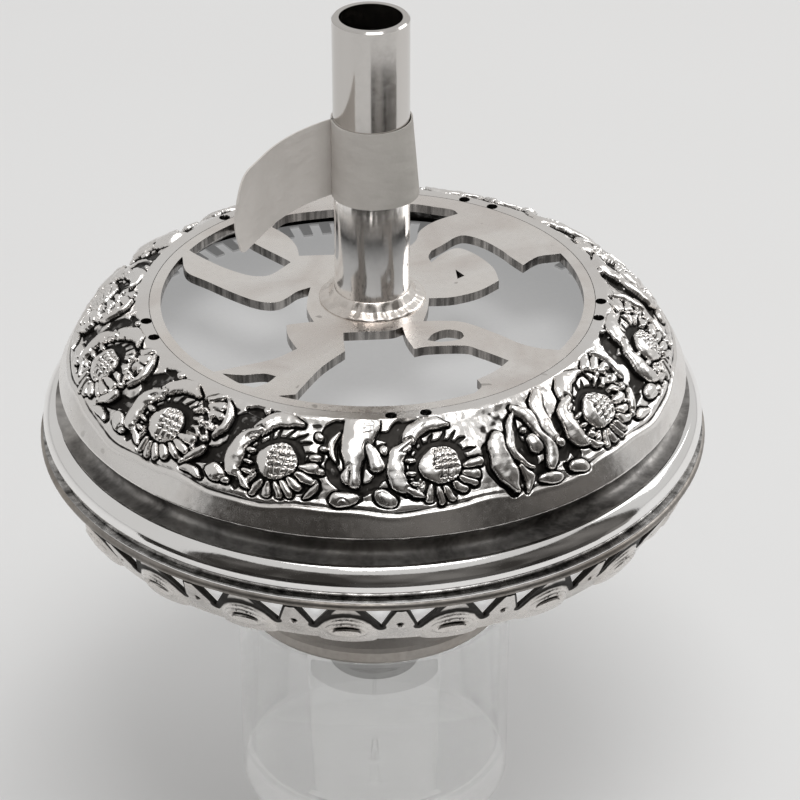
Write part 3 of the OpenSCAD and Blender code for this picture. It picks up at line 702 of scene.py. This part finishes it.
def chased_heights():
    """Height of the whole relief, with the marks of the tools over the worked part."""
    work = Chasing(DOME_COLUMNS, DOME_ROWS)
    rng = np.random.default_rng(7)
    lower_border(work)
    wide = S_LEAVES + FRONT_DROPS
    for centre in FRONT_DROPS:
        front_drop(work, centre)
    for centre in S_LEAVES:
        s_leaves(work, centre)
    for centre in FLOWERS:
        if not any(0 < (centre - s) % 360 < 22 for s in wide):
            comma_gap(work, centre, rng)
    for centre in FLOWERS:
        if not any(0 < (s - centre) % 360 < 24 for s in wide):
            fan_leaf(work, centre, rng)
    for centre in FLOWERS:
        sunflower(work, centre, rng)
    worked = np.clip((work.share - 0.2) / 0.05, 0.15, 1)[None, :]
    for reach, size in ((2, 0.02), (6, 0.06)):
        marks = blur(blur(rng.normal(0, 1, work.height.shape), reach), reach)
        work.height += marks / marks.std() * size * worked
    return work.height


def chased_dome(metal):
    """The dome as one closed sheet: chased outside, plain inside, stepped to carry the plate."""
    columns = DOME_COLUMNS
    heights = chased_heights()
    arc = swell_arc(DOME_FOOT, DOME_HEAD, DOME_SWELL, DOME_ROWS)
    along = np.gradient(arc, axis=0)
    normal = np.stack([along[:, 1], -along[:, 0]], -1)
    normal /= np.hypot(normal[:, :1], normal[:, 1:])
    dome_h = PLATE_TOP - LIP_Z
    seat_r = PLATE_R + PLATE_SLIP
    seat = dome_h - PLATE_T
    under = seat - LEDGE_T
    ring_rows = 22
    ring = np.linspace((DOME_TOP_R, dome_h), (seat_r, dome_h), ring_rows + 2)[1:]
    step = [(seat_r, seat), (seat_r - LEDGE_W, seat), (seat_r - LEDGE_W, under)]
    inner = swell_arc(DOME_FOOT, DOME_HEAD, DOME_SWELL, 14, INNER_FROM, INNER_TO, DOME_T)[::-1]
    lip = [(LIP_R - LIP_W, LIP_T), (LIP_R - LIP_W, 0), (LIP_R - 0.4, 0), (LIP_R - 0.12, 0.18),
           (LIP_R, 0.42)]
    rows = np.concatenate([arc, ring, step, inner, lip])
    r = np.repeat(rows[None, :, 0], columns, 0)
    z = np.repeat(rows[None, :, 1], columns, 0)
    fade = unit((1 - np.linspace(0, 1, DOME_ROWS)) / 0.03)[None, :]
    r[:, :DOME_ROWS] += heights * fade * normal[None, :, 0]
    z[:, :DOME_ROWS] += heights * fade * normal[None, :, 1]
    angle = np.arange(columns)[:, None] * 2 * PI / columns
    uneven = ripple(angle, z, 0.12, 3)
    z[:, :DOME_ROWS] += uneven[:, :DOME_ROWS] * fade
    x, y = r * np.cos(angle), r * np.sin(angle)
    dark = np.zeros_like(r)
    # painted shade: the dome's inner skin and the underside of its lip are darkened
    dark[:, DOME_ROWS + ring_rows + len(step):] = 0.62
    for pair in HOLE_PAIRS:
        for side in (-HOLE_SIDE, HOLE_SIDE):
            a = math.radians(pair + side)
            d = np.hypot(x - HOLE_CIRCLE_R * math.cos(a), y - HOLE_CIRCLE_R * math.sin(a))
            flat = slice(DOME_ROWS - 6, DOME_ROWS + ring_rows)
            hole = unit((HOLE_R - d) / 0.12 + 0.5)[:, flat]
            z[:, flat] -= HOLE_DEPTH * hole
            # painted shade: each hole's pit is blackened so it reads as a hole
            shaded = unit((HOLE_R + 0.2 - d[:, flat]) / 0.15)
            dark[:, flat] = np.maximum(dark[:, flat], shaded)
    points = np.stack([x, y, z + LIP_Z], -1)
    made = new_object("chased_dome", points, torus_faces(columns, len(rows)), metal, 60)
    # dark oxide in the chased hollows and on the deep ground
    hollow = blur(heights, 7) - heights
    oxide_and_shade = np.clip(hollow / 0.34, 0, 0.8) + np.clip((-0.28 - heights) / 0.4, 0, 0.6)
    dark[:, :DOME_ROWS] = np.maximum(dark[:, :DOME_ROWS], oxide_and_shade * fade)
    set_values(made, "oxide_and_shade", dark)
    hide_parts("shoulder_dome")
    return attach(made, "head")


# ------------------------------------------------------------------ sawn gallery
def gallery_relief(u, z):
    """Outward relief of the gallery and its painted shade, at degrees from a mound's middle and height in
    mm.
    """
    to_mm = math.radians(GALLERY_TOP_R)
    x = u * to_mm
    arch = 1 - (x / ARCH_HALF_W) ** 2 - (np.clip(z - ARCH_FOOT, 0, None) / ARCH_RISE) ** 2
    on_mound = unit((VEE_ANGLE + 0.8 - np.abs(u)) / 0.4)
    mound = 0.95 * np.sqrt(unit(arch))
    # band and brow also give a painted shadow round the top of each mound
    band = unit(-arch / 0.3) * unit((z - 2) / 2.5) * on_mound
    brow = np.exp(-((arch + 0.32) / 0.3) ** 2) * unit((z - 1.8) / 2) * on_mound
    eye = (x / EYE_HALF_W) ** 2 + ((z - EYE_Z + 0.04 * x * x) / EYE_HALF_H) ** 2
    rim = 0.28 * np.exp(-((eye - 1.0) / 0.3) ** 2)
    lid = np.exp(-((eye - 1.5) / 0.2) ** 2) * (z > EYE_Z)
    slit = np.exp(-((z - SLIT_Z + 0.1 * x * x) / 0.42) ** 2) * unit(1.25 - (x / 2.7) ** 2)
    xt = (180 / MOUNDS - np.abs(u)) * to_mm
    facet = 0.4 * unit(1 - np.abs(xt) / 2.6) * unit((z - 0.8) / 3)
    dot = np.exp(-((xt / 0.55) ** 2 + ((z - (GALLERY_H - DOT_DROP)) / 0.6) ** 2) ** 2)
    vee_x = VEE_ANGLE * to_mm
    point = (vee_x + VEE_SKEW, GALLERY_H - VEE_H)
    # painted shade along the cut sides of each V
    mound_side, _ = near(np.abs(x), z, [point, (vee_x - VEE_W / 2, GALLERY_H)])
    far_side, _ = near(np.abs(x), z, [point, (vee_x + VEE_W / 2, GALLERY_H)])
    cut = np.maximum(unit((1.15 - mound_side) / 0.6), unit((0.6 - far_side) / 0.3))
    relief = mound - 0.35 * band + rim - 0.8 * slit + facet - 0.9 * dot
    # the second value is painted shade: the shadow round each mound, the V's cut sides, the slit, the lid
    # lines and the dot
    return relief, unit(0.3 * band + 0.55 * brow + cut + slit + 0.42 * lid + dot)


def sawn_gallery(metal):
    """The gallery band: a foot strip with a mound tooth and a triangle tooth in each repeat."""
    skew = math.degrees(VEE_SKEW / GALLERY_TOP_R)
    half_vee = math.degrees(VEE_W / 2 / GALLERY_TOP_R)
    point_at, inner_at, outer_at = VEE_ANGLE + skew, VEE_ANGLE - half_vee, VEE_ANGLE + half_vee
    step = 360 / MOUNDS
    strip_h = GALLERY_H - VEE_H
    low_rows, high_rows = 22, 26
    teeth = ((-point_at, point_at, -inner_at, inner_at, 56),
             (point_at, step - point_at, outer_at, step - outer_at, 34))
    vertices, faces, marks = [], [], []

    def add_tooth(u, z, begin):
        """Outer and inner skin of one tooth, sunk along its cut edges and painted black there as shade.
        """
        n, m = u.shape
        relief, dark = gallery_relief((u + step / 2) % step - step / 2, z)
        in_strip = z <= strip_h + 1e-6
        from_side = np.minimum(np.arange(n), np.arange(n)[::-1])[:, None]
        bevel = np.where(in_strip, 1, np.minimum(from_side / 3.0, 1))
        bevel = bevel * np.minimum(np.arange(m)[::-1][None, :] / 2.0, 1)
        relief = relief * (0.35 + 0.65 * bevel) - 0.22 * (1 - bevel) ** 2
        cut_edge = (bevel < 0.9) & ~in_strip
        base = GALLERY_FOOT_R + GALLERY_LEAN / GALLERY_H * z
        angle = np.radians(begin + u)
        faces.append(slab_faces(n, m, sum(len(skin) for skin in vertices)))
        # painted shade: the cut edges are black on both skins
        skins = ((base + relief, np.where(cut_edge, 1, dark)), (base - GALLERY_T, cut_edge * 1.0))
        for r, mark in skins:
            skin = np.stack([r * np.cos(angle), r * np.sin(angle), z + GALLERY_FOOT], -1)
            vertices.append(skin.reshape(-1, 3))
            marks.append(mark.ravel())

    for i in range(MOUNDS):
        begin = MOUND_ANGLE + i * step
        for low_a, low_b, high_a, high_b, n in teeth:
            s = np.linspace(0, 1, n)[:, None]
            z_low = np.linspace(0, strip_h, low_rows)[None, :]
            z_high = np.linspace(strip_h, GALLERY_H, high_rows)[None, 1:]
            t = (z_high - strip_h) / VEE_H
            u_low = low_a + (low_b - low_a) * s + 0 * z_low
            u_high = (low_a + (high_a - low_a) * t) * (1 - s) + (low_b + (high_b - low_b) * t) * s
            u = np.concatenate([u_low, u_high], 1)
            z = np.concatenate([z_low, z_high], 1) + 0 * s
            add_tooth(u, z, begin)
    made = new_object("sawn_gallery", np.concatenate(vertices), np.concatenate(faces), metal, 50)
    set_values(made, "oxide_and_shade", np.concatenate(marks))
    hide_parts("gallery_band")
    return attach(made, "head")


# ------------------------------------------------------------------ turned pieces
BAND_SEGMENTS = 540


def girdle_bead(metal):
    """The bead on its narrow flange, with painted shade in the groove between them."""
    root = BEAD_R - BEAD_PROUD
    head = GROOVE_H + BEAD_H
    flange = radius("girdle_wire") - FLANGE_INSET
    bead = swell_arc((root + BEAD_INSET, GROOVE_H), (root, head), BEAD_PROUD - 0.4, 28)
    outline = np.concatenate([[(root - GIRDLE_WALL, 0), (flange, 0), (flange, FLANGE_T - FLANGE_EDGE),
                               (flange - FLANGE_EDGE, FLANGE_T), (root + 0.8, FLANGE_T + 0.02)], bead,
                              [(root - COVE_SEAT, head), (root - GIRDLE_WALL, head)]])
    height = np.tile(outline[:, 1], BAND_SEGMENTS)
    outline[:, 1] += GIRDLE_FOOT
    made = lathe("girdle_bead", outline, metal, BAND_SEGMENTS, 0.05, 11, 40)
    # painted shade in the groove over the flange
    darkening = unit((GROOVE_H + 0.25 - height) / 0.3) * (height > 0.2)
    set_values(made, "oxide_and_shade", darkening * 0.52)
    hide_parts("girdle_moulding")
    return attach(made, "head")


def cove_ring(metal):
    """The dark hollow moulding between the bead and the lip."""
    root = BEAD_R - BEAD_PROUD - COVE_SEAT
    inside = LIP_R - COVE_DEPTH - COVE_WALL
    cove = swell_arc((root, 0), (LIP_R - 1, COVE_H), -COVE_DEPTH, 24)
    outline = np.concatenate([[(inside, 0)], cove, [(inside, COVE_H)]])
    outline[:, 1] += COVE_FOOT
    made = lathe("cove_ring", outline, metal, BAND_SEGMENTS, 0.06, 21, 40)
    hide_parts("cove_band")
    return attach(made, "head")


def blown_glass(glass):
    """The cup, with a heavy base and a round corner inside. It casts no shadow."""
    inside = GLASS_R - GLASS_WALL
    corner = [(inside - GLASS_CORNER * (1 - math.cos(a)), GLASS_BASE + GLASS_CORNER * (1 + math.sin(a)))
              for a in np.linspace(0, -PI / 2, 10)]
    outer = rounded([(0.5, 0.0), (GLASS_R, 0), (GLASS_R, GLASS_TOP), (inside, GLASS_TOP),
                     (inside, GLASS_BASE + 4)], 0.7)
    outline = np.concatenate([outer[3:-3], corner, [(0.5, GLASS_BASE)]])
    made = lathe("blown_glass", outline, glass, 240, 0.0, 41, 40)
    made.visible_shadow = False
    made.visible_diffuse = False
    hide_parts("glass_cup")
    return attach(made, "cup")


def solder_foot(metal):
    """A washer with a lumpy solder fillet round the stem."""
    inside = TUBE_R + FOOT_SLIP
    outline = rounded([(inside, 0), (FOOT_R + 0.5, 0), (FOOT_R + 0.2, FOOT_H * 0.16),
                       (FOOT_R - 0.5, FOOT_H * 0.26), (inside + 1.2, FOOT_H * 0.36),
                       (inside + 0.4, FOOT_H * 0.8), (inside, FOOT_H)], 0.25)
    outline[:, 1] += PLATE_TOP
    made = lathe("solder_foot", outline, metal, BAND_SEGMENTS, 0.0, 51, 180)
    points = get_points(made)
    angle = np.arctan2(points[:, 1], points[:, 0])
    high = unit((points[:, 2] - PLATE_TOP) / FOOT_H)
    lumps = ripple(angle, 6 * high, 0.9, 61) + ripple(2 * angle, 9 * high, 0.2, 62)
    r = np.hypot(points[:, 0], points[:, 1])
    out = unit((r - inside) / 1.2) * high ** 0.5
    points[:, 2] += lumps * out * 0.7
    points[:, :2] *= ((r + lumps * out * 0.5) / r)[:, None]
    set_points(made, points)
    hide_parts("stem_collar")
    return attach(made, "head")


# ------------------------------------------------------------------ paper tag
def tag_tail(stock, inside, rows, columns=90):
    """Both plies of the tail as one curved sheet, with a rounded end."""
    steps = np.linspace(0, TAIL_LEN, 300)
    heading = np.radians(np.interp(steps, (0, TAIL_BEND), TAIL_HEADINGS))
    path_x = -inside - np.cumsum(np.cos(heading)) * steps[1]
    path_y = -0.5 - np.cumsum(np.sin(heading)) * steps[1]
    along = np.linspace(0, TAIL_LEN, columns)[:, None]
    v = np.linspace(0, 1, rows)[None, :]
    left = TAIL_LEN - along
    upper_cut = np.clip(TAIL_UPPER_R - left, 0, TAIL_UPPER_R - 0.01)
    lower_cut = np.clip(TAIL_LOWER_R - left, 0, TAIL_LOWER_R - 0.01)
    upper = TAG_H - TAIL_UPPER_R + np.sqrt(TAIL_UPPER_R ** 2 - upper_cut ** 2)
    lower = TAIL_LOWER_R - np.sqrt(TAIL_LOWER_R ** 2 - lower_cut ** 2)
    z = lower + (upper - lower) * v
    turn = np.interp(along, steps, heading)
    curl = TAIL_CURL * (along / TAIL_LEN) * (2 * v - 1) ** 2
    sheets = []
    for side in (0.0, TAG_T):
        x = np.interp(along, steps, path_x) + (side + curl) * np.sin(turn)
        y = np.interp(along, steps, path_y) - (side + curl) * np.cos(turn)
        sheets.append(np.stack([x, y, z + TAG_Z + 0 * x], -1).reshape(-1, 3))
    outward = slab_faces(columns, rows)[:, [0, 3, 2, 1]]
    return new_object("tag_tail", np.concatenate(sheets), outward, stock, 50)


def curled_tag(stock):
    """The blank sticker: a loose wrap round the tube, and a tail that curls forward."""
    inside = TUBE_R + TAG_SLIP
    rows = 26
    v = np.linspace(0, TAG_H, rows)
    profile = ([(inside, h) for h in v] + [(inside + TAG_T, h) for h in v[::-1]])
    wrap = lathe("tag_wrap", np.array(profile) + (0, TAG_Z), stock, 96, 0.0, 71, 50)
    points = get_points(wrap)
    r = np.hypot(points[:, 0], points[:, 1])
    loose = WRAP_LOOSE * unit(points[:, 0] / r) ** 2 * (1.1 - (points[:, 2] - TAG_Z) / TAG_H)
    points[:, :2] *= (1 + loose / r)[:, None]
    set_points(wrap, points)
    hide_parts("paper_tag")
    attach(wrap, "head")
    ply = tag_tail(stock, inside, rows)
    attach(ply, "head")


# ------------------------------------------------------------------ materials and pieces
polished = silver("polished_silver", 0.93, 0.09, 0.01, use_oxide_and_shade=True, wave=0.0003)
# the tube's colour darkens above the tag
tube_metal = silver("tube_silver", 0.93, 0.12, 0.015, wave=0.0004, brushed=(6, 6, 0.6),
                    darker_above=TAG_Z + 6)
chased = silver("chased_silver", 0.84, 0.22, 0.02, use_oxide_and_shade=True, stain=0.25, wave=0.0002)
gallery_metal = silver("gallery_silver", 0.72, 0.26, 0.03, use_oxide_and_shade=True, wave=0.0003, oxide=0.4,
                       oxide_from=0.5)
neck_metal = silver("dull_silver", 0.3, 0.35, 0.02, oxide=0.7, wave=0.0003)
wire_metal = silver("wire_silver", 0.36, 0.42, 0.06, oxide=0.6, oxide_from=0.4, wave=0.0003)
# painted light: the floor disc glows, standing in for light the silver inside throws about
glowing_floor_metal = silver("floor_silver", 0.3, 0.5, 0.0, wave=0.0001, brushed=(1, 1, 1), metallic=0.0,
                     glow=1.1)
# painted light: the claw ring and the lining behind the gallery glow too, so the V openings read pale
glowing_claw_metal = silver("claw_silver_painted_glow", 0.45, 0.4, 0.0, wave=0.0001, metallic=0.3, glow=0.3)
glowing_lining_metal = silver("lining_silver_painted_glow", 0.95, 0.4, 0.0, wave=0.00015, metallic=0.15, glow=0.33)
collar_metal = silver("collar_silver", 0.42, 0.5, 0.05, stain=0.1, wave=0.0002)
# painted shade on the plate's upright cut sides
plate_metal = silver("plate_silver", 0.86, 0.28, 0.03, stain=0.5, wave=0.0006, brushed=(1, 1, 9),
                     painted_side_shade=0.85)
# the cove is made near black, partly by oxide and partly as painted shade for the shadow under the lip
cove_oxide_and_shade = silver("oxidised_silver", 0.5, 0.34, 0.03, oxide=0.9, oxide_from=0.34, wave=0.0004)
solder_metal = silver("solder_silver", 0.84, 0.22, 0.04, stain=0.6, wave=0.0012, oxide=0.5,
                      oxide_from=0.45)
glass = clear_glass("clear_glass")
stock = paper("tag_paper")

CAD_FINISH = {"girdle_wire": wire_metal, "openwork_plate": plate_metal, "stem_tube": tube_metal,
              "seat_collar": collar_metal, "neck_socket": neck_metal, "floor_disc": glowing_floor_metal,
              "claw_ring": glowing_claw_metal, "gallery_lining": glowing_lining_metal}
for name, finish in CAD_FINISH.items():
    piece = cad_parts[name]
    piece.data.materials.clear()
    piece.data.materials.append(finish)


def soften(piece, width):
    """A small bevel along the sharp edges of a CAD piece."""
    weld = piece.modifiers.new("weld", "WELD")
    weld.merge_threshold = 0.002 * MM
    bevel = piece.modifiers.new("bevel", "BEVEL")
    bevel.width = width * MM
    bevel.segments = 3
    bevel.limit_method = "ANGLE"
    bevel.angle_limit = math.radians(40)
    bevel.harden_normals = True


soften(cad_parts["openwork_plate"], PLATE_BEVEL)

chased_dome(chased)
sawn_gallery(gallery_metal)
girdle_bead(polished)
cove_ring(cove_oxide_and_shade)
blown_glass(glass)
solder_foot(solder_metal)
curled_tag(stock)


# ------------------------------------------------------------------ stage, lights and camera
FLOOR_HALF = 40.0
LIGHT_AIM = (0, 0, 0.08)


def plain_object(name, points, faces, surface):
    """A plain mesh from points in metres."""
    mesh = bpy.data.meshes.new(name)
    mesh.from_pydata(points, [], faces)
    mesh.materials.append(surface)
    obj = bpy.data.objects.new(name, mesh)
    bpy.context.scene.collection.objects.link(obj)
    return obj


def floor():
    s = FLOOR_HALF
    corners = [(-s, -s, 0), (s, -s, 0), (s, s, 0), (-s, s, 0)]
    obj = plain_object("floor", corners, [(0, 1, 2, 3)], pale_floor("floor"))


def dark_flag(name, middle, half_span, low, high, distance, value):
    """A curved dark flag in front, which only gloss sees: it darkens silver that faces outwards."""
    count = 24
    angles = np.radians(np.linspace(middle - half_span, middle + half_span, count))
    points = [(distance * math.cos(a), distance * math.sin(a), h) for h in (low, high) for a in angles]
    faces = [(i, i + 1, count + i + 1, count + i) for i in range(count - 1)]
    obj = plain_object(name, points, faces, flag_cloth(name, value, distance))
    obj.visible_camera = False
    obj.visible_diffuse = False
    obj.visible_shadow = False
    obj.visible_transmission = False


def area_light(name, place, size, power):
    data = bpy.data.lights.new(name, "AREA")
    data.shape = "SQUARE"
    data.size = size
    data.energy = power
    obj = bpy.data.objects.new(name, data)
    bpy.context.scene.collection.objects.link(obj)
    obj.location = place
    direction = Vector(np.subtract(LIGHT_AIM, place))
    obj.rotation_euler = direction.to_track_quat("-Z", "Y").to_euler()


floor()
dark_flag("front_flag", middle=-74, half_span=72, low=0.0, high=0.5, distance=0.45, value=0.035)
dark_flag("low_flag", middle=-50, half_span=40, low=0.015, high=0.06, distance=0.2, value=0.05)
dark_flag("near_flag", middle=-90, half_span=62, low=0.048, high=0.08, distance=0.12, value=0.02)
area_light("top_softbox", (0.1, -0.25, 1.5), size=0.8, power=8)
area_light("right_softbox", (1.3, 0.9, 1.3), size=1.0, power=9)

world = bpy.data.worlds.new("world")
bpy.context.scene.world = world
world.use_nodes = True
sky = world.node_tree
sky.nodes.clear()
background = node(sky, "ShaderNodeBackground", {"Color": (0.82, 0.815, 0.805, 1), "Strength": 0.74})
node(sky, "ShaderNodeOutputWorld", {"Surface": background.outputs[0]})

CAMERA_TILT = math.radians(31.46)
CAMERA_FROM_PLATE = (4.97, -469.7, 265.4)
camera_data = bpy.data.cameras.new("camera")
camera_data.lens = 135
camera_data.sensor_width = 36
camera_data.clip_start = 0.01
camera_data.clip_end = 50
camera = bpy.data.objects.new("camera", camera_data)
bpy.context.scene.collection.objects.link(camera)
camera.location = (CAMERA_FROM_PLATE[0] * MM, CAMERA_FROM_PLATE[1] * MM,
                   (CAMERA_FROM_PLATE[2] + PLATE_TOP) * MM)
camera.rotation_euler = (PI / 2 - CAMERA_TILT, 0, 0)
bpy.context.scene.camera = camera
bpy.context.scene.view_settings.view_transform = "Standard"
